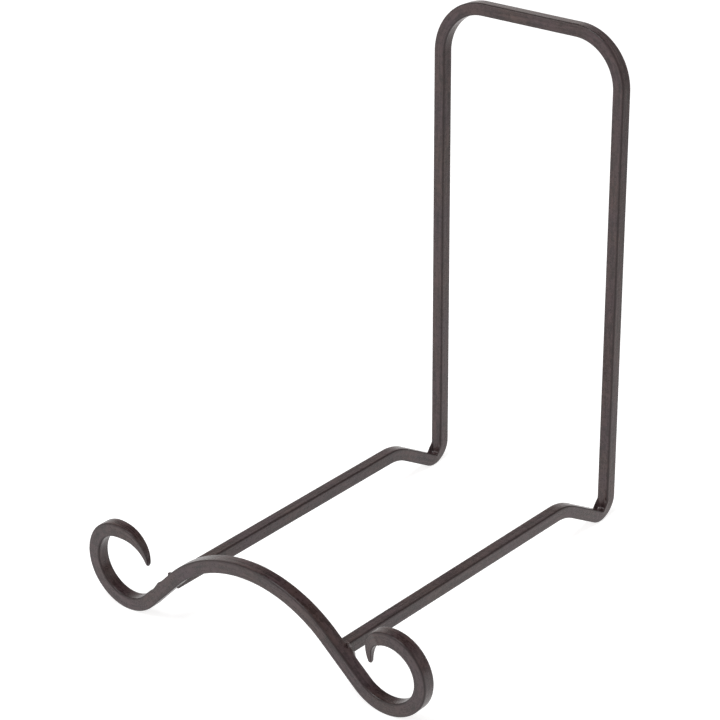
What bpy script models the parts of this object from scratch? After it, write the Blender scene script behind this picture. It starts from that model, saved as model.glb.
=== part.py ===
"""Plate display stand: a bent square rod for the back frame, a scrolled square bar across the front,
and the two welds that join them.

Units are metres, +Z is up and the front faces -Y. The stand rests on Z = 0, and the origin is on the
table under the middle of its outline. Both rods are made the way a bending machine makes them: a
square end face is fed straight and swung round bends, one step of the programme at a time.
"""

import math

import bmesh
import bpy
from mathutils import Matrix, Vector

# --- Driving dimensions: metres, with angles in degrees. Bend radii are those of the centre line. ---
BAR = 0.00635  # side of the scroll bar's square section
ROD = 0.0060  # side of the back frame's square section
EDGE_BEVEL = 0.0006  # how far the bevel along each edge cuts in
GAP = 0.0003  # clearance kept between pieces that touch
BEND_STEP = 12.0  # most degrees that one facet of a bend turns
FOOT_FACET = 6.0  # degrees of each foot's bend that its flat replaces

DEPTH = 0.2157  # front of the scroll bar to the back of the top bar
FOOT_SPAN = 0.0996  # between the centre lines of the two feet
UPRIGHT_SPLAY = 0.23  # how far each upright leans outwards
RAIL_TOE_IN = 0.19  # how far each rail turns inwards towards the front
RAIL_HEIGHT = 0.0205  # centre line of a rail's front end above the table
RAIL_FALL = 1.13  # how steeply the rails fall towards the back
SHOULDER_RADIUS = 0.0250
SLOPE_ANGLE = 30.9  # how steeply the rod runs down from shoulder to foot
FOOT_RADIUS = 0.0076
LEAN_ANGLE = 4.9  # how far the back loop leans back from upright
TOP_HEIGHT = 0.2324  # highest point of the top bar above the table
TOP_RADIUS = 0.0242

HUMP_HEIGHT = 0.0432  # centre line at the top of the hump, above the table
HUMP_RADIUS = 0.0633
FLANK_ANGLE = 43.8  # how steeply the flanks run down beside the hump
# Each scroll is wound in tangent arcs, (radius, degrees), from the lowest point of its foot.
LEFT_SCROLL = ((0.0188, 127.0), (0.0140, 51.0), (0.0259, 13.5), (0.0138, 72.0))
RIGHT_SCROLL = ((0.0207, 50.5), (0.0162, 145.5), (0.0109, 63.0), (0.0181, 19.0))
NOSE = 0.0012  # straight end of each tip
NOSE_SHARE = 0.6  # size of its end face, as a share of the section behind it
# Each taper is the length drawn out, then two pairs: what is left of the height and how late its
# thinning comes (1 is even, more is later), and the same for the depth.
LEFT_TAPER = (0.0283, (0.09, 2.4), (0.33, 1.4))
RIGHT_TAPER = (0.0167, (0.20, 1.0), (0.27, 0.8))

BEAD_LEG = 0.0032  # how far a weld spreads over each of the two faces it joins
BEAD_LENGTH = 0.0058
BEAD_DROP = 0.0014  # its lower end below the rail's lower face
BEAD_RIPPLES = 3
BEAD_SIDES = 6
BEAD_FLATNESS = 0.15  # how far the middle of its face falls short of a quarter circle
RIPPLE_STEPS = 4  # rings in each ripple
RIPPLE_DEPTH = 0.08  # as a share of the leg
BEAD_END = 0.6  # size of each end, as a share of the leg

COAT_COLOUR = (0.055, 0.044, 0.045, 1.0)  # dark purplish brown
COAT_ROUGHNESS = 0.45
WELD_ROUGHNESS = 0.5

BAR_BACK = BAR - DEPTH / 2  # rear face of the scroll bar

UP = Vector((0, 0, 1))
DOWN = Vector((0, 0, -1))
RIGHT = Vector((1, 0, 0))
LEFT = Vector((-1, 0, 0))
FORWARD = Vector((0, -1, 0))
BACKWARD = Vector((0, 1, 0))


class Bender:
    """A bar drawn out of one end face, which is fed straight and swung round bends."""

    def __init__(self, section, size, start, heading, side):
        """section draws the end face, whose own X axis is turned to side and its normal to heading."""
        self.mesh = bmesh.new()
        turn = Matrix((side, heading.cross(side), heading)).transposed().to_4x4()
        self.start = Matrix.Translation(start) @ turn
        self.place = self.start.copy()
        self.face = section(self.mesh, size, self.place)
        self.first_face = self.face
        self.rings = [(0.0, self.place, self.face.verts[:])]

    def heading(self):
        return self.place.to_3x3().col[2]

    def push(self, motion, length):
        """Extrudes the end face and moves the new one by this matrix."""
        old_face = self.face
        has_body = len(self.mesh.faces) > 1
        made = bmesh.ops.extrude_face_region(self.mesh, geom=[old_face])["geom"]
        self.face = next(item for item in made if isinstance(item, bmesh.types.BMFace))
        if has_body:
            bmesh.ops.delete(self.mesh, geom=[old_face], context="FACES_ONLY")
        bmesh.ops.transform(self.mesh, matrix=motion, verts=self.face.verts[:])
        self.place = motion @ self.place
        self.rings.append((self.rings[-1][0] + length, self.place, self.face.verts[:]))

    def feed(self, length):
        self.push(Matrix.Translation(self.heading() * length), length)

    def bend(self, axis, degrees, radius):
        """Swings the end face round a centre to one side, about an axis square to the heading."""
        centre = self.place.translation + axis.cross(self.heading()) * radius
        steps = math.ceil(degrees / BEND_STEP)
        angle = math.radians(degrees) / steps
        step = Matrix.Rotation(angle, 4, axis)
        motion = Matrix.Translation(centre) @ step @ Matrix.Translation(-centre)
        for _ in range(steps):
            self.push(motion, radius * angle)

    def bend_to(self, heading, radius):
        axis = self.heading().cross(heading).normalized()
        self.bend(axis, math.degrees(self.heading().angle(heading)), radius)

    def scale_ring(self, ring, along_side, across):
        """Scales one ring's section along its side axis and across it."""
        _, place, verts = ring
        scale = place @ Matrix.Diagonal((along_side, across, 1, 1)) @ place.inverted()
        bmesh.ops.transform(self.mesh, matrix=scale, verts=verts)

    def draw_out(self, length, height, depth):
        """Tapers the last stretch of bar, the way a smith does, and blunts its end."""
        tip = self.rings[-1][0]
        for ring in self.rings:
            drawn = 1 - (tip - ring[0]) / length
            if drawn > 0:
                shares = [1 - (1 - left) * drawn ** lateness for left, lateness in (depth, height)]
                self.scale_ring(ring, *shares)
        self.scale_ring(self.rings[-1], NOSE_SHARE, NOSE_SHARE)

    def turn_back(self):
        """Goes back to the first face, to work the other way from it."""
        self.face = self.first_face
        self.place = self.start @ Matrix.Rotation(math.pi, 4, "X")
        self.rings = [(0.0, self.place, self.face.verts[:])]

    def finish(self, name, material, collection):
        """The bar as a solid object."""
        bmesh.ops.recalc_face_normals(self.mesh, faces=self.mesh.faces[:])
        mesh = bpy.data.meshes.new(name)
        self.mesh.to_mesh(mesh)
        self.mesh.free()
        mesh.materials.append(material)
        result = bpy.data.objects.new(name, mesh)
        collection.objects.link(result)
        return result


def square_section(mesh, side, place):
    """A square face with its corners cut off, for a bar with softened edges."""
    place = place @ Matrix.Rotation(math.radians(45), 4, "Z")
    radius = side / math.sqrt(2)
    square = bmesh.ops.create_circle(mesh, cap_ends=True, radius=radius, segments=4, matrix=place)
    bmesh.ops.bevel(mesh, geom=square["verts"], offset=EDGE_BEVEL, segments=1, affect="VERTICES")
    return mesh.faces[:][0]


def bead_section(mesh, leg, place):
    """The end face of a fillet weld: a square corner at its root and a bulging side between its legs."""
    points = [Vector((0, 0, 0))]
    for step in range(BEAD_SIDES + 1):
        angle = math.radians(90) * step / BEAD_SIDES
        reach = leg * (1 - BEAD_FLATNESS * math.sin(2 * angle))
        points.append(reach * Vector((math.cos(angle), math.sin(angle), 0)))
    return mesh.faces.new([mesh.verts.new(place @ point) for point in points])


def reach_when_turned(size, degrees):
    """How far a bar's square section reaches from its centre line when it is turned by this angle."""
    angle = math.radians(degrees)
    return size / 2 * math.cos(angle) + (size / 2 - EDGE_BEVEL) * math.sin(angle)


def paint(name, roughness):
    """Satin powder coat."""
    material = bpy.data.materials.new(name)
    material.use_nodes = True
    shader = material.node_tree.nodes["Principled BSDF"]
    shader.inputs["Base Color"].default_value = COAT_COLOUR
    shader.inputs["Roughness"].default_value = roughness
    shader.inputs["Metallic"].default_value = 0.0
    return material


def headed(run, climb_angle, sideways_angle):
    """The direction that climbs from the level heading run, and turns aside towards +X, by these angles."""
    climb = math.radians(climb_angle)
    aside = math.radians(sideways_angle)
    return (run * math.cos(climb) + UP * math.sin(climb)) * math.cos(aside) + RIGHT * math.sin(aside)


def arc_span(radius, start_angle, end_angle):
    """How far forwards and up a bend carries the bar, between these two angles of climb."""
    start = math.radians(start_angle)
    end = math.radians(end_angle)
    sign = math.copysign(radius, end_angle - start_angle)
    return sign * (math.sin(end) - math.sin(start)), sign * (math.cos(start) - math.cos(end))


def foot_centre(radius, size):
    """Height of the centre of a foot's bend, for its flat facet to lie on the table."""
    return (radius + size / 2) * math.cos(math.radians(FOOT_FACET / 2))


def bend_frame_side(rod, side):
    """From the middle of the top bar: corner, upright, foot, slope, shoulder and rail."""
    down = headed(FORWARD, LEAN_ANGLE - 90, -side * UPRIGHT_SPLAY)
    upright_end = foot_centre(FOOT_RADIUS, ROD) + FOOT_RADIUS * down.y

    # The top bar is as long as it takes for the splayed uprights to reach the feet.
    drop = rod.place.translation.z - TOP_RADIUS - upright_end
    rod.feed(FOOT_SPAN / 2 + drop * math.tan(math.radians(UPRIGHT_SPLAY)) - TOP_RADIUS)
    rod.bend_to(down, TOP_RADIUS)
    rod.feed((rod.place.translation.z - upright_end) / -down.z)
    for climb in (-FOOT_FACET / 2, FOOT_FACET / 2):
        rod.bend_to(headed(FORWARD, climb, -side * RAIL_TOE_IN), FOOT_RADIUS)

    # The slope and the rail are as long as it takes to reach the scroll bar at the rail's height.
    foot_run, foot_rise = arc_span(FOOT_RADIUS, FOOT_FACET / 2, SLOPE_ANGLE)
    shoulder_run, shoulder_rise = arc_span(SHOULDER_RADIUS, SLOPE_ANGLE, RAIL_FALL)
    run = rod.place.translation.y - BAR_BACK - GAP - foot_run - shoulder_run
    rise = RAIL_HEIGHT - rod.place.translation.z - foot_rise - shoulder_rise
    fall = math.radians(RAIL_FALL)
    slope = math.radians(SLOPE_ANGLE)
    slope_length = (rise * math.cos(fall) - run * math.sin(fall)) / math.sin(slope - fall)
    rail_length = (run * math.sin(slope) - rise * math.cos(slope)) / math.sin(slope - fall)
    rod.bend_to(headed(FORWARD, SLOPE_ANGLE, -side * RAIL_TOE_IN), FOOT_RADIUS)
    rod.feed(slope_length)
    rod.bend_to(headed(FORWARD, RAIL_FALL, -side * RAIL_TOE_IN), SHOULDER_RADIUS)
    rod.feed(rail_length)


def make_back_frame(collection):
    """One rod, bent alike on both sides of the middle of its top bar."""
    reach = reach_when_turned(ROD, LEAN_ANGLE)
    top = Vector((0, DEPTH / 2 - reach, TOP_HEIGHT - reach))
    rod = Bender(square_section, ROD, top, RIGHT, headed(FORWARD, LEAN_ANGLE, 0))
    bend_frame_side(rod, 1)
    rod.turn_back()
    bend_frame_side(rod, -1)
    return rod.finish("back_frame", paint("frame_coat", COAT_ROUGHNESS), collection)


def bend_scroll(bar, turns, taper):
    """From the top of the hump: hump, flank, foot and scroll, with the end drawn out to a tip."""
    foot_radius, foot_degrees = turns[0]
    down = bar.heading().cross(DOWN)
    flank = math.radians(FLANK_ANGLE)
    foot_rise = foot_centre(foot_radius, BAR) - foot_radius
    drop = HUMP_HEIGHT - foot_rise - (HUMP_RADIUS + foot_radius) * (1 - math.cos(flank))
    bar.bend(down, FLANK_ANGLE, HUMP_RADIUS)
    bar.feed(drop / math.sin(flank))
    bar.bend(-down, FLANK_ANGLE - FOOT_FACET / 2, foot_radius)
    bar.bend(-down, FOOT_FACET, foot_radius)
    bar.bend(-down, foot_degrees - FOOT_FACET / 2, foot_radius)
    for radius, degrees in turns[1:]:
        bar.bend(-down, degrees, radius)
    bar.feed(NOSE)
    bar.draw_out(*taper)


def make_scroll_bar(collection):
    """One bar from tip to tip, upright across the front."""
    top = Vector((0, BAR_BACK - BAR / 2, HUMP_HEIGHT))
    bar = Bender(square_section, BAR, top, RIGHT, BACKWARD)
    bend_scroll(bar, RIGHT_SCROLL, RIGHT_TAPER)
    bar.turn_back()
    bend_scroll(bar, LEFT_SCROLL, LEFT_TAPER)
    return bar.finish("scroll_bar", paint("bar_coat", COAT_ROUGHNESS), collection)


def make_weld_bead(collection, name, outward, rail_face):
    """A rippled fillet in the corner between a rail's outer face and the back of the scroll bar."""
    run = UP if outward == RIGHT else DOWN
    foot = RAIL_HEIGHT - ROD / 2 - BEAD_DROP
    lower_end = Vector((rail_face + GAP * outward.x, BAR_BACK + GAP, foot))
    start = lower_end if outward == RIGHT else lower_end + UP * BEAD_LENGTH
    bead = Bender(bead_section, BEAD_LEG, start, run, outward)
    steps = BEAD_RIPPLES * RIPPLE_STEPS
    for _ in range(steps):
        bead.feed(BEAD_LENGTH / steps)
    for number, ring in enumerate(bead.rings):
        swell = 1 + RIPPLE_DEPTH * math.cos(2 * math.pi * number / RIPPLE_STEPS)
        if number in (0, steps):
            swell = BEAD_END
        bead.scale_ring(ring, swell, swell)
    return bead.finish(name, paint(f"{name}_coat", WELD_ROUGHNESS), collection)


def outer_face_at(frame, outward):
    """How far out the frame reaches at the front ends of its rails, on this side."""
    ends = [vert.co.x for vert in frame.data.vertices if vert.co.y < BAR_BACK + ROD / 2]
    return max(ends, key=lambda x: x * outward.x)


def clear_scene():
    for item in list(bpy.data.objects):
        bpy.data.objects.remove(item)


def main():
    clear_scene()
    stand = bpy.data.collections.new("plate_display_stand")
    bpy.context.scene.collection.children.link(stand)
    frame = make_back_frame(stand)
    make_scroll_bar(stand)
    make_weld_bead(stand, "weld_bead_left", LEFT, outer_face_at(frame, LEFT))
    make_weld_bead(stand, "weld_bead_right", RIGHT, outer_face_at(frame, RIGHT))


main()
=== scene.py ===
"""Looks of the plate display stand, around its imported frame.

The frame's bars are faceted. Each is rolled again here along the same bends, with rounded edges, forged
tips and the marks that bending leaves, and each weld becomes a fused fillet. It is all one rigid body.
Lengths are metres and angles are degrees. +Z is up and the front faces -Y.
"""

import math

import bpy
from mathutils import Matrix, Vector, noise


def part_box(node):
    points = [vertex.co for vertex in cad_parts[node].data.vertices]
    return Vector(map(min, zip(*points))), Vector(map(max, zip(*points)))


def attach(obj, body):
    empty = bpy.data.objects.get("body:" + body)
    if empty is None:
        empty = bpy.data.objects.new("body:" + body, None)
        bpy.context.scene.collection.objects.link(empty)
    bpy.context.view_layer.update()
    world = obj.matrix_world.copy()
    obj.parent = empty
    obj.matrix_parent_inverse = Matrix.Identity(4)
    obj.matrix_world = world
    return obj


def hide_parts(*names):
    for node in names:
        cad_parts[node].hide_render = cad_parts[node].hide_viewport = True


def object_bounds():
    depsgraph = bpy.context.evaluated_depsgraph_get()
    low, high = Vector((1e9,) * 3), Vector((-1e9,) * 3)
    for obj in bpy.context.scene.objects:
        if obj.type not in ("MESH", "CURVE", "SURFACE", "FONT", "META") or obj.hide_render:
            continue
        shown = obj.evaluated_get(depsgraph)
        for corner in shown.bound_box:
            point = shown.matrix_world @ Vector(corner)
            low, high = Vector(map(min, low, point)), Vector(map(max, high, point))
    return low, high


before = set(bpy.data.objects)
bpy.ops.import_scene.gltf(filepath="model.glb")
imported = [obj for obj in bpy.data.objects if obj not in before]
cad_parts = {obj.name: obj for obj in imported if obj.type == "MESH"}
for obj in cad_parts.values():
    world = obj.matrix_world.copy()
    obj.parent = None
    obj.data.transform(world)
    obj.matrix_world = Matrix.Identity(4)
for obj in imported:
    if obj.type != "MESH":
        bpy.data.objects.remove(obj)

CAD_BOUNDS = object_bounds()
BODY = "root"

UP = Vector((0, 0, 1))
DOWN = Vector((0, 0, -1))
RIGHT = Vector((1, 0, 0))
FORWARD = Vector((0, -1, 0))
BACKWARD = Vector((0, 1, 0))

# --- What the frame says ---
BAR_LOW, BAR_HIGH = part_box("scroll_bar")
FRAME_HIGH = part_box("back_frame")[1]
BAR = BAR_HIGH.y - BAR_LOW.y  # side of the scroll bar's square section
BAR_BACK = BAR_HIGH.y
LOOP_BACK = FRAME_HIGH.y
TOP_HEIGHT = FRAME_HIGH.z
SCROLL_HUMP = BAR_HIGH.z

# --- The bends, as the bars were made ---
ROD = 0.0060  # side of the back frame's square section
CORNER = 0.0006  # how far the frame cuts its bars' edges back
FOOT_SPAN = 0.0996
UPRIGHT_SPLAY = 0.23
RAIL_TOE_IN = 0.19
RAIL_HEIGHT = 0.0205
RAIL_FALL = 1.13
SHOULDER_RADIUS = 0.0250
SLOPE_ANGLE = 30.9
FOOT_RADIUS = 0.0076
LEAN_ANGLE = 4.9
TOP_RADIUS = 0.0242
HUMP_RADIUS = 0.0633
FLANK_ANGLE = 43.8
# Each scroll is wound in tangent arcs, (radius, degrees), from its lowest point, and ends in a short nose.
LEFT_SCROLL = ((0.0188, 127.0), (0.0140, 51.0), (0.0259, 13.5), (0.0138, 72.0))
RIGHT_SCROLL = ((0.0207, 50.5), (0.0162, 145.5), (0.0109, 63.0), (0.0181, 19.0))
NOSE = 0.0012
# A taper is its length, then the share left of the height and of the depth, each with how late it thins.
LEFT_TAPER = (0.0283, (0.09, 2.4), (0.33, 1.4))
RIGHT_TAPER = (0.0167, (0.20, 1.0), (0.27, 0.8))

# --- Surface detail ---
STEP = 0.0008  # the most between two rings
BEND_RINGS = 20  # the fewest rings in each radian of a bend
NOSE_RINGS = 8
EDGE_RADIUS = 0.0008
FLAT_POINTS = 8  # across each face
EDGE_POINTS = 5  # round each edge
SINK = 0.001  # how far welded pieces run into each other
BLUNTNESS = 0.3  # share of the size that is left at the very end of a rounded tip or weld
HAMMER_DEPTH = 0.00012
HAMMER_PITCH = 0.007
HAMMER_FULL = 0.5  # share of a taper after which its hammer marks are at their deepest
HAMMER_THIN = 0.5  # share of the bar's height under which they get shallower
WAVE_DEPTH = 0.00003
WAVE_PITCH = 0.012
# The bending tool left a lump on the left flank's upper front edge, and a dent below it.
LUMP = Vector((-0.0542, BAR_LOW.y, 0.0200))
DENT = Vector((-0.0583, BAR_LOW.y, 0.0160))
LUMP_HEIGHT = 0.0005
LUMP_SIZE = 0.0017

# --- The fold inside each foot's bend ---
# The inner faces of the upright and the slope run on straight until they meet in a crease. At the bar's
# sides a facet cuts across it. A place in the bar goes from 0 at its middle to 1 at its face.
CREASE_REACH = 0.0075  # from the bend's centre
FACET_REACH = 0.00468
FACET_ANGLE = 34.5  # how far round the bend the facet faces its centre
FACET_FROM = 0.55  # across the bar
FACET_FULL = 0.95
FOLD_ROOT = -0.35  # how deep the metal is still pushed
FOLD_SPREAD = 0.09  # how much wider the bend's inside is squeezed
NEARLY_END_ON = 0.1  # the cosine below which a straight face is followed no further

# --- The welds ---
WELD_LEG = 0.0036  # at its widest, above its round lower end
WELD_FOOT = 0.0155
WELD_TOP = {-1: 0.0236, 1: 0.0238}  # left and right
WELD_ROUNDING = 0.2  # share of the height that the round lower end takes
WELD_SLOPE = 0.90  # share of the leg that is lost from there to the top
WELD_PROUD = 0.0004  # how far it shows past the bar's rear top edge
WELD_ROWS = 44
WELD_POINTS = 9
WELD_HOLLOW = 0.45  # 0.5 is a flat face
WELD_RIPPLE = 0.025
WELD_PITCH = 0.0013

# --- The powder coat: a noise is (scale per metre, detail, roughness) ---
BROWN_COAT = (0.055, 0.033, 0.030, 1)
PURPLE_COAT = (0.048, 0.029, 0.034, 1)
# Painted shade: the dark colour that the coat is turned towards at each rounded edge of the bars.
EDGE_SHADE_COLOUR = (0.020, 0.011, 0.011, 1)
COAT_ROUGHNESS = 0.28
EDGE_ROUGHNESS = 0.60
SHEEN_SHARE = 0.15  # of a smoother film over the powder
SHEEN_ROUGHNESS = 0.12
ROUGHNESS_RANGE = 0.12
TONE_RANGE = 0.75
STREAKS = (900, 3, 0.5)
STREAK_STRETCH = 0.08  # how much slower they change along the bar than round it
STREAK_SHARE = 0.5
MOTTLE = (450, 4, 0.6)
DRIFT = (60, 2, 0.5)
PEEL = (1300, 3, 0.5)
PEEL_DEPTH = 0.00002
DENT_DEPTH = 0.00025
NOISE_LOW = 0.3  # a noise is nearly all between these
NOISE_HIGH = 0.7

# --- Studio ---
# A curve is points (at, strength): across the floor's paper strip, or over how steeply a direction rises.
WHITE = (1, 1, 1, 1)
FLOOR_HALF = 6
FLOOR_GREY = (0.6, 0.6, 0.6, 1)
FLOOR_ROUGHNESS = 0.9
FLOOR_GLOW = ((-0.50, 0.47), (-0.22, 0.54), (-0.05, 0.42), (0.10, 0.63), (0.26, 0.50), (0.50, 0.28))
FLOOR_SEEN = 0.8  # its own brightness straight to the camera
ROOM_LIGHT = ((0.0, 0.50), (0.2, 0.15), (0.45, 0.70), (0.8, 0.02))
SWEEP_LIGHT = ((0.0, 0.80), (0.2, 0.78), (0.45, 0.44), (0.8, 0.0))
WARM_LIGHT = (1, 0.95, 0.93, 1)
WARM_FROM = -0.05  # across the strip, as far as WARM_FULL
WARM_FULL = 0.20
BEHIND_FROM = -0.2  # how far a direction points along the strip where the sweep starts to take over
BEHIND_FULL = 0.8
BACKDROP = 1.1
# Each softbox is its name, place, side and power.
SOFTBOXES = (
    ("left_softbox", Vector((-1.2, -1.3, 0.9)), 1.0, 7.1),
    ("right_softbox", Vector((1.5, -0.6, 0.8)), 1.0, 0.6),
    ("top_softbox", Vector((0, -0.4, 1.6)), 0.8, 14.6),
)

# --- Camera ---
CAMERA_AZIMUTH = 41.654
CAMERA_ELEVATION = 25.892
CAMERA_ROLL = -3.483
CAMERA_DISTANCE = 1.3086
CAMERA_LENS = 147.65
CAMERA_FAR = 20
CAMERA_AIM = Vector((-0.01086, -0.01280, 0.10347))

# The studio's strip of white paper is laid straight away from the camera.
ACROSS_STRIP = Vector((math.cos(math.radians(CAMERA_AZIMUTH)), math.sin(math.radians(CAMERA_AZIMUTH)), 0))
ALONG_STRIP = Vector((-ACROSS_STRIP.y, ACROSS_STRIP.x, 0))


def headed(run, climb_angle, sideways_angle):
    """A level direction, turned up and then towards +X."""
    climb = math.radians(climb_angle)
    aside = math.radians(sideways_angle)
    return (run * math.cos(climb) + UP * math.sin(climb)) * math.cos(aside) + RIGHT * math.sin(aside)


class Route:
    """The way a bar's centre line goes: a place with axes (side, across, heading) at every short step."""

    def __init__(self, start, heading, side):
        turn = Matrix((side, heading.cross(side), heading)).transposed().to_4x4()
        self.places = [Matrix.Translation(start) @ turn]
        self.folds = [0.0]

    def heading(self):
        return self.places[-1].to_3x3().col[2]

    def point(self):
        return self.places[-1].translation

    def feed(self, length, steps=None):
        """Straight on."""
        steps = steps or max(1, math.ceil(length / STEP))
        start = self.places[-1]
        heading = self.heading()
        for step in range(1, steps + 1):
            self.places.append(Matrix.Translation(heading * length * step / steps) @ start)
            self.folds.append(0.0)

    def bend(self, axis, degrees, radius):
        """Round an axis square to the heading."""
        angle = math.radians(degrees)
        steps = math.ceil(max(angle * radius / STEP, angle * BEND_RINGS))
        start = self.places[-1]
        centre = start.translation + axis.cross(self.heading()) * radius
        for step in range(1, steps + 1):
            turn = Matrix.Rotation(angle * step / steps, 4, axis)
            self.places.append(Matrix.Translation(centre) @ turn @ Matrix.Translation(-centre) @ start)
            self.folds.append(0.0)

    def bend_to(self, heading, radius):
        """The shortest bend to a new heading."""
        axis = self.heading().cross(heading).normalized()
        self.bend(axis, math.degrees(self.heading().angle(heading)), radius)

    def note_fold(self, first):
        """Marks the rings from this one on with the angle that each has turned."""
        start = self.places[first].to_3x3().col[2]
        for ring in range(first, len(self.places)):
            self.folds[ring] = math.degrees(start.angle(self.places[ring].to_3x3().col[2]))


def arc_span(radius, start_angle, end_angle):
    """How far along and up an arc goes whose slope changes between these angles."""
    start = math.radians(start_angle)
    end = math.radians(end_angle)
    sign = math.copysign(radius, end_angle - start_angle)
    return sign * (math.sin(end) - math.sin(start)), sign * (math.cos(start) - math.cos(end))


def frame_side(side):
    """One side of the back frame, from the middle of its top bar to the front end of its rail."""
    lean = math.radians(LEAN_ANGLE)
    # The leaning bar's centre line is this far from its highest and from its rearmost edge.
    inset = ROD / 2 * math.cos(lean) + (ROD / 2 - CORNER) * math.sin(lean)
    top = Vector((0, LOOP_BACK - inset, TOP_HEIGHT - inset))
    out = RIGHT * side
    normal = headed(FORWARD, LEAN_ANGLE, 0)
    rod = Route(top, out, normal)
    down = headed(FORWARD, LEAN_ANGLE - 90, -side * UPRIGHT_SPLAY)
    upright_end = FOOT_RADIUS + ROD / 2 + FOOT_RADIUS * down.y
    drop = rod.point().z - TOP_RADIUS - upright_end
    rod.feed(FOOT_SPAN / 2 + drop * math.tan(math.radians(UPRIGHT_SPLAY)) - TOP_RADIUS)
    rod.bend_to(down, TOP_RADIUS)
    rod.feed((rod.point().z - upright_end) / -down.z)
    fold_start = len(rod.places) - 1
    rod.bend_to(headed(FORWARD, 0, -side * RAIL_TOE_IN), FOOT_RADIUS)
    # The slope and the rail share what is left of the way to the scroll bar, forwards and up.
    foot_run, foot_rise = arc_span(FOOT_RADIUS, 0, SLOPE_ANGLE)
    shoulder_run, shoulder_rise = arc_span(SHOULDER_RADIUS, SLOPE_ANGLE, RAIL_FALL)
    run = rod.point().y - BAR_BACK - foot_run - shoulder_run
    rise = RAIL_HEIGHT - rod.point().z - foot_rise - shoulder_rise
    fall = math.radians(RAIL_FALL)
    slope = math.radians(SLOPE_ANGLE)
    slope_length = (rise * math.cos(fall) - run * math.sin(fall)) / math.sin(slope - fall)
    rail_length = (run * math.sin(slope) - rise * math.cos(slope)) / math.sin(slope - fall)
    rod.bend_to(headed(FORWARD, SLOPE_ANGLE, -side * RAIL_TOE_IN), FOOT_RADIUS)
    rod.note_fold(fold_start)
    rod.feed(slope_length)
    rod.bend_to(headed(FORWARD, RAIL_FALL, -side * RAIL_TOE_IN), SHOULDER_RADIUS)
    rod.feed(rail_length + SINK)
    return rod


def scroll_side(side, turns):
    """One side of the scroll bar, from the top of its hump to its tip."""
    foot_radius, foot_degrees = turns[0]
    top = Vector((0, BAR_BACK - BAR / 2, SCROLL_HUMP - BAR / 2))
    bar = Route(top, RIGHT * side, BACKWARD)
    down = (RIGHT * side).cross(DOWN)
    flank = math.radians(FLANK_ANGLE)
    flank_drop = top.z - BAR / 2 - (HUMP_RADIUS + foot_radius) * (1 - math.cos(flank))
    bar.bend(down, FLANK_ANGLE, HUMP_RADIUS)
    bar.feed(flank_drop / math.sin(flank))
    bar.bend(-down, FLANK_ANGLE + foot_degrees, foot_radius)
    for radius, degrees in turns[1:]:
        bar.bend(-down, degrees, radius)
    bar.feed(NOSE, NOSE_RINGS)
    return bar


def both_ways(first, second):
    """One list of (place, fold, way), from the far end of the second route to the far end of the first."""
    stations = []
    for place, fold in list(zip(second.places, second.folds))[:0:-1]:
        stations.append((place @ Matrix.Rotation(math.pi, 4, "X"), fold))
    stations += zip(first.places, first.folds)
    ways = [0.0]
    for (before, _), (after, _) in zip(stations, stations[1:]):
        ways.append(ways[-1] + (after.translation - before.translation).length)
    return [(place, fold, way) for (place, fold), way in zip(stations, ways)]


def ease(share):
    """From 0 to 1 with a soft start and end."""
    share = min(1, max(0, share))
    return share * share * (3 - 2 * share)


def round_end(share):
    """The size of a round end, from blunt where share is 0 to full from 1 on."""
    share = min(1, share)
    return max(BLUNTNESS, (1 - (1 - share) ** 2) ** 0.5)


def straight_reach(nearest, degrees):
    """How far off a straight line is, seen this many degrees away from its nearest point."""
    return nearest / max(NEARLY_END_ON, math.cos(math.radians(degrees)))


def folded(point, fold):
    """Where the inside of a foot's bend is pressed in, and the bulge that this squeezes out sideways."""
    half = ROD / 2
    inner = FOOT_RADIUS - half
    whole = 90 - LEAN_ANGLE + SLOPE_ANGLE
    straights = min(straight_reach(inner, fold), straight_reach(inner, whole - fold))
    crease = min(straights, CREASE_REACH)
    facet = min(straights, straight_reach(FACET_REACH, fold - FACET_ANGLE))
    aside = ease((abs(point.y) / half - FACET_FROM) / (FACET_FULL - FACET_FROM))
    depth = crease + (facet - crease) * aside - inner
    inwards = ease((point.x / half - FOLD_ROOT) / (1 - FOLD_ROOT))
    bulge = math.sin(math.pi * min(1, fold / whole)) ** 2
    widening = 1 + FOLD_SPREAD * bulge * point.x / half
    return Vector((point.x - depth * inwards, point.y * widening))


def wavering(place, point, depth, pitch):
    """How far an uneven face is moved here: only inwards, so from 0 down to minus this depth."""
    at = place @ Vector((point.x, point.y, 0))
    return depth * (noise.noise(at / pitch) - 1) / 2


def gripped(place, point):
    """How far the bending tool has pushed this point out, or in where it is negative."""
    at = place @ Vector((point.x, point.y, 0))
    lump = math.exp(-((at - LUMP).length / LUMP_SIZE) ** 2)
    dent = math.exp(-((at - DENT).length / LUMP_SIZE) ** 2)
    return LUMP_HEIGHT * (lump - dent)


def rounded_square(half, radius):
    """Points round a square with rounded corners, each with how near it is to a corner's middle, 0 to 1."""
    points = []
    flat = half - radius
    for quarter in range(4):
        turn = Matrix.Rotation(math.radians(90) * quarter, 2)
        for step in range(FLAT_POINTS):
            share = (step + 0.5) / FLAT_POINTS
            points.append((turn @ Vector((half, flat * (2 * share - 1))), 0.0))
        for step in range(EDGE_POINTS):
            share = (step + 0.5) / EDGE_POINTS
            angle = math.radians(90) * share
            corner = Vector((flat, flat)) + radius * Vector((math.cos(angle), math.sin(angle)))
            points.append((turn @ corner, 1 - abs(2 * share - 1)))
    return points


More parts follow.
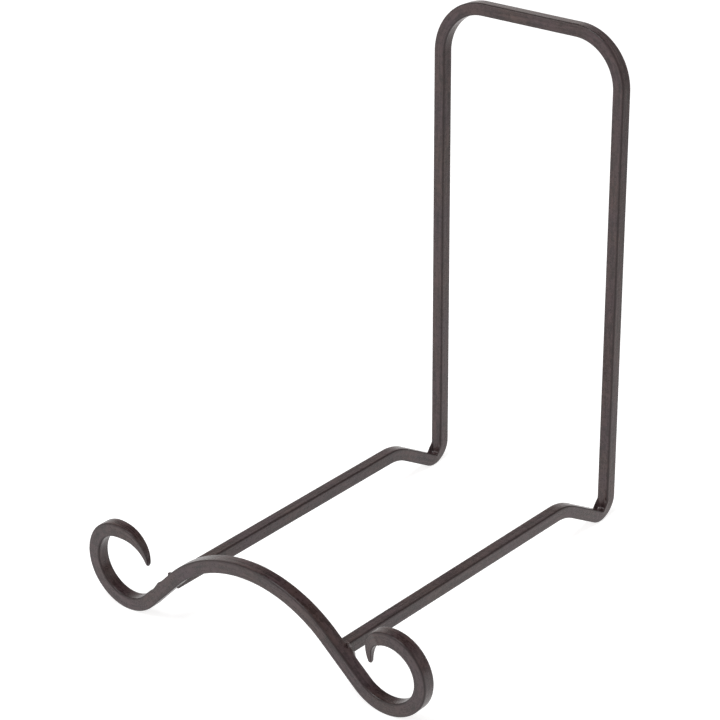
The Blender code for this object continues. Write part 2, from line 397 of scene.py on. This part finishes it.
def skin(name, stations, half, shape):
    """The bar's mesh. shape(point, place, fold, way) moves a point of the square section."""
    profile = rounded_square(half, EDGE_RADIUS)
    count = len(profile)
    around = 8 * half / (2 * math.pi)  # radius of a circle as long as the section's outline
    vertices = []
    edge = []
    run = []
    for place, fold, way in stations:
        for item, (point, corner) in enumerate(profile):
            moved = shape(point, place, fold, way)
            vertices.append(place @ Vector((moved.x, moved.y, 0)))
            edge.append(corner)
            turned = 2 * math.pi * item / count
            run += (way, around * math.cos(turned), around * math.sin(turned))
    faces = []
    for ring in range(len(stations) - 1):
        for item in range(count):
            following = (item + 1) % count
            a = ring * count
            b = a + count
            faces.append((a + item, a + following, b + following, b + item))
    faces.append(tuple(reversed(range(count))))
    last = (len(stations) - 1) * count
    faces.append(tuple(range(last, last + count)))
    return add_mesh(name, vertices, faces, edge, run)


def add_mesh(name, vertices, faces, edge, run):
    """edge is how near each point is to an edge, and run is its place along and round the bar."""
    mesh = bpy.data.meshes.new(name)
    mesh.from_pydata(vertices, [], faces)
    mesh.attributes.new("edge", "FLOAT", "POINT").data.foreach_set("value", edge)
    mesh.attributes.new("run", "FLOAT_VECTOR", "POINT").data.foreach_set("vector", run)
    mesh.shade_smooth()
    result = bpy.data.objects.new(name, mesh)
    bpy.context.scene.collection.objects.link(result)
    return result


def bar_edge_at(stations, aside):
    """Height of the scroll bar's upper face where a flank, not a scroll, passes this place along X."""
    tops = []
    for place, _, _ in stations:
        turn = place.to_3x3()
        upward = 1 if turn.col[1].z >= 0 else -1
        top = place @ Vector((0, BAR / 2 * upward, 0))
        if top.z > RAIL_HEIGHT - ROD:
            tops.append(top)
    return min(tops, key=lambda top: abs(top.x - aside)).z


def weld(side, rail_face, bar_top):
    """A fused fillet in the corner between a rail's outer face and the back of the scroll bar.

    bar_top is how high the bar's rear top edge passes the rail's outer face. The edge falls away outwards
    at about 45 degrees there, and so does the fillet.
    """
    vertices = []
    edge = []
    run = []
    top = WELD_TOP[side]
    for row in range(WELD_ROWS + 1):
        share = row / WELD_ROWS
        height = WELD_FOOT + (top - WELD_FOOT) * share
        slope = 1 - WELD_SLOPE * max(0, share - WELD_ROUNDING) / (1 - WELD_ROUNDING)
        ripple = 1 + WELD_RIPPLE * math.sin(2 * math.pi * height / WELD_PITCH)
        along = WELD_LEG * round_end(share / WELD_ROUNDING) * slope * ripple
        across = min(along, WELD_PROUD + max(0, bar_top - height))
        curve = [Vector((-SINK, along))]
        for step in range(WELD_POINTS):
            t = step / (WELD_POINTS - 1)
            x = across * (t * t + 2 * t * (1 - t) * WELD_HOLLOW)
            y = along * ((1 - t) ** 2 + 2 * t * (1 - t) * WELD_HOLLOW)
            curve.append(Vector((x, y)))
        curve.append(Vector((across, -SINK)))
        curve.append(Vector((-SINK, -SINK)))
        for point in curve:
            vertices.append((rail_face + side * point.x, BAR_BACK + point.y, height))
            edge.append(0.0)
            run += (height, point.x, point.y)
    count = WELD_POINTS + 3
    faces = []
    for row in range(WELD_ROWS):
        for item in range(count):
            following = (item + 1) % count
            a = row * count
            b = a + count
            face = (a + item, a + following, b + following, b + item)
            faces.append(face if side < 0 else face[::-1])
    last = WELD_ROWS * count
    ends = (tuple(reversed(range(count))), tuple(range(last, last + count)))
    faces += ends if side < 0 else [end[::-1] for end in ends]
    name = "weld_fillet_left" if side < 0 else "weld_fillet_right"
    return add_mesh(name, vertices, faces, edge, run)


def node(tree, kind, settings=None, **inputs):
    """Adds a node. settings are its properties, and inputs its sockets by name: values or other sockets."""
    made = tree.nodes.new(kind)
    for name, value in (settings or {}).items():
        setattr(made, name, value)
    for name, value in inputs.items():
        socket = made.inputs[name.replace("_", " ")]
        if isinstance(value, bpy.types.NodeSocket):
            tree.links.new(value, socket)
        else:
            socket.default_value = value
    return made


def cloud(tree, place, kind):
    """A noise of one of the kinds named above."""
    scale, detail, roughness = kind
    made = node(tree, "ShaderNodeTexNoise", Vector=place, Scale=scale, Detail=detail, Roughness=roughness)
    return made.outputs["Fac"]


def spread(tree, value, low, high):
    """Maps the range of a noise to these limits."""
    made = node(tree, "ShaderNodeMapRange", Value=value)
    made.inputs["From Min"].default_value = NOISE_LOW
    made.inputs["From Max"].default_value = NOISE_HIGH
    made.inputs["To Min"].default_value = low
    made.inputs["To Max"].default_value = high
    return made.outputs["Result"]


def powder_coat(name):
    """Satin powder coat: orange peel, mill streaks along the bar, an uneven tone, and painted shade that
    darkens its edges.
    """
    material = bpy.data.materials.new(name)
    material.use_nodes = True
    tree = material.node_tree
    shader = tree.nodes["Principled BSDF"]
    shader.inputs["Coat Weight"].default_value = SHEEN_SHARE
    shader.inputs["Coat Roughness"].default_value = SHEEN_ROUGHNESS
    place = node(tree, "ShaderNodeTexCoord").outputs["Object"]
    run = node(tree, "ShaderNodeAttribute", {"attribute_name": "run"}).outputs["Vector"]
    drawn = node(tree, "ShaderNodeVectorMath", {"operation": "MULTIPLY"})
    tree.links.new(run, drawn.inputs[0])
    drawn.inputs[1].default_value = (STREAK_STRETCH, 1, 1)
    edge = node(tree, "ShaderNodeAttribute", {"attribute_name": "edge"}).outputs["Fac"]

    uneven = node(tree, "ShaderNodeMix", {"data_type": "FLOAT"}, Factor=STREAK_SHARE)
    tree.links.new(cloud(tree, place, MOTTLE), uneven.inputs["A"])
    tree.links.new(cloud(tree, drawn.outputs["Vector"], STREAKS), uneven.inputs["B"])
    uneven = uneven.outputs["Result"]
    drift = spread(tree, cloud(tree, place, DRIFT), 0, 1)
    tint = node(tree, "ShaderNodeMix", {"data_type": "RGBA"}, Factor=drift)
    tint.inputs["A"].default_value = BROWN_COAT
    tint.inputs["B"].default_value = PURPLE_COAT
    tone = node(tree, "ShaderNodeVectorMath", {"operation": "SCALE"})
    tree.links.new(tint.outputs["Result"], tone.inputs[0])
    tree.links.new(spread(tree, uneven, 1 - TONE_RANGE, 1 + TONE_RANGE), tone.inputs["Scale"])
    # Painted shade: the colour darkens towards each edge, as far as the point is near it.
    colour = node(tree, "ShaderNodeMix", {"data_type": "RGBA"}, Factor=edge)
    tree.links.new(tone.outputs["Vector"], colour.inputs["A"])
    colour.inputs["B"].default_value = EDGE_SHADE_COLOUR
    tree.links.new(colour.outputs["Result"], shader.inputs["Base Color"])

    gloss = spread(tree, uneven, COAT_ROUGHNESS - ROUGHNESS_RANGE, COAT_ROUGHNESS + ROUGHNESS_RANGE)
    rough = node(tree, "ShaderNodeMix", {"data_type": "FLOAT"}, Factor=edge)
    tree.links.new(gloss, rough.inputs["A"])
    rough.inputs["B"].default_value = EDGE_ROUGHNESS
    tree.links.new(rough.outputs["Result"], shader.inputs["Roughness"])

    dents = node(tree, "ShaderNodeBump", Height=uneven, Distance=DENT_DEPTH, Strength=1)
    peel = node(tree, "ShaderNodeBump", Height=cloud(tree, place, PEEL), Distance=PEEL_DEPTH, Strength=1,
                Normal=dents.outputs["Normal"])
    tree.links.new(peel.outputs["Normal"], shader.inputs["Normal"])
    return material


def make_softboxes():
    """Plain white softboxes, turned to the middle of the stand."""
    middle = (CAD_BOUNDS[0] + CAD_BOUNDS[1]) / 2
    for name, place, side, power in SOFTBOXES:
        light = bpy.data.lights.new(name, "AREA")
        light.shape = "SQUARE"
        light.size = side
        light.energy = power
        lamp = bpy.data.objects.new(name, light)
        lamp.location = place
        lamp.rotation_euler = (middle - place).to_track_quat("-Z", "Y").to_euler()
        bpy.context.scene.collection.objects.link(lamp)


def make_camera():
    """Looks at the stand from its front right, a little from above."""
    elevation = math.radians(CAMERA_ELEVATION)
    back = UP * math.sin(elevation) - ALONG_STRIP * math.cos(elevation)
    turn = Matrix((ACROSS_STRIP, back.cross(ACROSS_STRIP), back)).transposed()
    turn = turn @ Matrix.Rotation(math.radians(CAMERA_ROLL), 3, "Z")
    data = bpy.data.cameras.new("camera")
    data.lens = CAMERA_LENS
    data.clip_end = CAMERA_FAR
    camera = bpy.data.objects.new("camera", data)
    camera.matrix_world = Matrix.Translation(CAMERA_AIM + back * CAMERA_DISTANCE) @ turn.to_4x4()
    bpy.context.scene.collection.objects.link(camera)
    bpy.context.scene.camera = camera


def ramp(tree, value, curve):
    """A curve of straight pieces, as nodes."""
    low = curve[0][0]
    high = curve[-1][0]
    peak = max(strength for _, strength in curve)
    share = node(tree, "ShaderNodeMapRange", Value=value)
    share.inputs["From Min"].default_value = low
    share.inputs["From Max"].default_value = high
    colours = node(tree, "ShaderNodeValToRGB", Fac=share.outputs["Result"])
    stops = colours.color_ramp.elements
    while len(stops) < len(curve):
        stops.new(0.5)
    for stop, (at, strength) in zip(stops, curve):
        stop.position = (at - low) / (high - low)
        grey = strength / peak
        stop.color = (grey, grey, grey, 1)
    scaled = node(tree, "ShaderNodeMath", {"operation": "MULTIPLY"})
    tree.links.new(colours.outputs["Color"], scaled.inputs[0])
    scaled.inputs[1].default_value = peak
    return scaled.outputs["Value"]


def share_along(tree, place, direction):
    """How far a place lies, or how much a direction points, along this one."""
    made = node(tree, "ShaderNodeVectorMath", {"operation": "DOT_PRODUCT"})
    tree.links.new(place, made.inputs[0])
    made.inputs[1].default_value = direction
    return made.outputs["Value"]


def make_stage():
    """A plain pale floor. The light in its paper shows in the coat, and is uneven across the strip."""
    mesh = bpy.data.meshes.new("floor")
    far = FLOOR_HALF
    corners = [(-far, -far, 0), (far, -far, 0), (far, far, 0), (-far, far, 0)]
    mesh.from_pydata(corners, [], [(0, 1, 2, 3)])
    floor = bpy.data.objects.new("floor", mesh)
    bpy.context.scene.collection.objects.link(floor)
    material = bpy.data.materials.new("pale_floor")
    material.use_nodes = True
    tree = material.node_tree
    shader = tree.nodes["Principled BSDF"]
    shader.inputs["Base Color"].default_value = FLOOR_GREY
    shader.inputs["Roughness"].default_value = FLOOR_ROUGHNESS
    shader.inputs["Specular IOR Level"].default_value = 0
    place = node(tree, "ShaderNodeTexCoord").outputs["Object"]
    across = share_along(tree, place, ACROSS_STRIP)
    glow = ramp(tree, across, FLOOR_GLOW)
    warmth = node(tree, "ShaderNodeMapRange", Value=across)
    warmth.inputs["From Min"].default_value = WARM_FROM
    warmth.inputs["From Max"].default_value = WARM_FULL
    tint = node(tree, "ShaderNodeMix", {"data_type": "RGBA"}, Factor=warmth.outputs["Result"])
    tint.inputs["A"].default_value = WHITE
    tint.inputs["B"].default_value = WARM_LIGHT
    seen = node(tree, "ShaderNodeLightPath").outputs["Is Camera Ray"]
    colour = node(tree, "ShaderNodeMix", {"data_type": "RGBA"}, Factor=seen)
    tree.links.new(tint.outputs["Result"], colour.inputs["A"])
    colour.inputs["B"].default_value = WHITE
    tree.links.new(colour.outputs["Result"], shader.inputs["Emission Color"])
    strength = node(tree, "ShaderNodeMix", {"data_type": "FLOAT"}, Factor=seen)
    tree.links.new(glow, strength.inputs["A"])
    strength.inputs["B"].default_value = FLOOR_SEEN
    tree.links.new(strength.outputs["Result"], shader.inputs["Emission Strength"])
    mesh.materials.append(material)
    floor.location.z = CAD_BOUNDS[0].z


def make_surround():
    """The room, and the bright paper that sweeps up behind the stand. The camera sees plain white."""
    world = bpy.data.worlds.new("surround")
    world.use_nodes = True
    tree = world.node_tree
    background = tree.nodes["Background"]
    background.inputs["Color"].default_value = WARM_LIGHT
    way = node(tree, "ShaderNodeTexCoord").outputs["Generated"]
    parts = node(tree, "ShaderNodeSeparateXYZ", Vector=way)
    behind = node(tree, "ShaderNodeMapRange", {"interpolation_type": "SMOOTHSTEP"},
                  Value=share_along(tree, way, ALONG_STRIP))
    behind.inputs["From Min"].default_value = BEHIND_FROM
    behind.inputs["From Max"].default_value = BEHIND_FULL
    lit = node(tree, "ShaderNodeMix", {"data_type": "FLOAT"}, Factor=behind.outputs["Result"])
    tree.links.new(ramp(tree, parts.outputs["Z"], ROOM_LIGHT), lit.inputs["A"])
    tree.links.new(ramp(tree, parts.outputs["Z"], SWEEP_LIGHT), lit.inputs["B"])
    seen = node(tree, "ShaderNodeLightPath").outputs["Is Camera Ray"]
    strength = node(tree, "ShaderNodeMix", {"data_type": "FLOAT"}, Factor=seen)
    tree.links.new(lit.outputs["Result"], strength.inputs["A"])
    strength.inputs["B"].default_value = BACKDROP
    tree.links.new(strength.outputs["Result"], background.inputs["Strength"])
    bpy.context.scene.world = world


def rod_shape(point, place, fold):
    """The back frame's section: folded inside the feet, and slightly uneven."""
    moved = folded(point, fold)
    return moved * (1 + wavering(place, point, WAVE_DEPTH, WAVE_PITCH) / moved.length)


def bar_shape(point, place, way, length):
    """The scroll bar's section: drawn out and hammered to a rounded tip at both ends, and gripped once."""
    height = 1
    depth = 1
    hammered = 0
    for taper, left_over in ((LEFT_TAPER, way), (RIGHT_TAPER, length - way)):
        taper_length, (high, high_lateness), (deep, deep_lateness) = taper
        drawn = max(0, 1 - left_over / taper_length)
        height -= (1 - high) * drawn ** high_lateness
        depth -= (1 - deep) * drawn ** deep_lateness
        hammered = max(hammered, ease(drawn / HAMMER_FULL))
        rounding = round_end(left_over / NOSE)
        height *= rounding
        depth *= rounding
    marks = wavering(place, point, HAMMER_DEPTH, HAMMER_PITCH) * hammered * min(1, height / HAMMER_THIN)
    wave = wavering(place, point, WAVE_DEPTH, WAVE_PITCH)
    grip = gripped(place, point)
    moved = Vector((point.x * depth, point.y * (height + grip / (BAR / 2))))
    return moved * (1 + (marks + wave) / point.length)


def place_piece(piece, coat, replaced):
    """Coats a piece and lets it stand for its node of the frame."""
    piece.data.materials.append(coat)
    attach(piece, BODY)
    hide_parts(replaced)


def make_stand():
    """The two bars and the two welds that join them."""
    coat = powder_coat("frame_coat")
    right_side = frame_side(1)
    loop = both_ways(right_side, frame_side(-1))
    back = skin("back_frame_bar", loop, ROD / 2,
                lambda point, place, fold, way: rod_shape(point, place, fold))
    place_piece(back, coat, "back_frame")

    stations = both_ways(scroll_side(1, RIGHT_SCROLL), scroll_side(-1, LEFT_SCROLL))
    length = stations[-1][2]
    bar = skin("scroll_bar_forged", stations, BAR / 2,
               lambda point, place, fold, way: bar_shape(point, place, way, length))
    place_piece(bar, coat, "scroll_bar")

    for side, replaced in ((-1, "weld_bead_left"), (1, "weld_bead_right")):
        rail_face = side * (abs(right_side.point().x) + ROD / 2)
        fillet = weld(side, rail_face, bar_edge_at(stations, rail_face))
        place_piece(fillet, coat, replaced)


bpy.context.scene.view_settings.view_transform = "Standard"
make_stand()
make_camera()
make_stage()
make_surround()
make_softboxes()
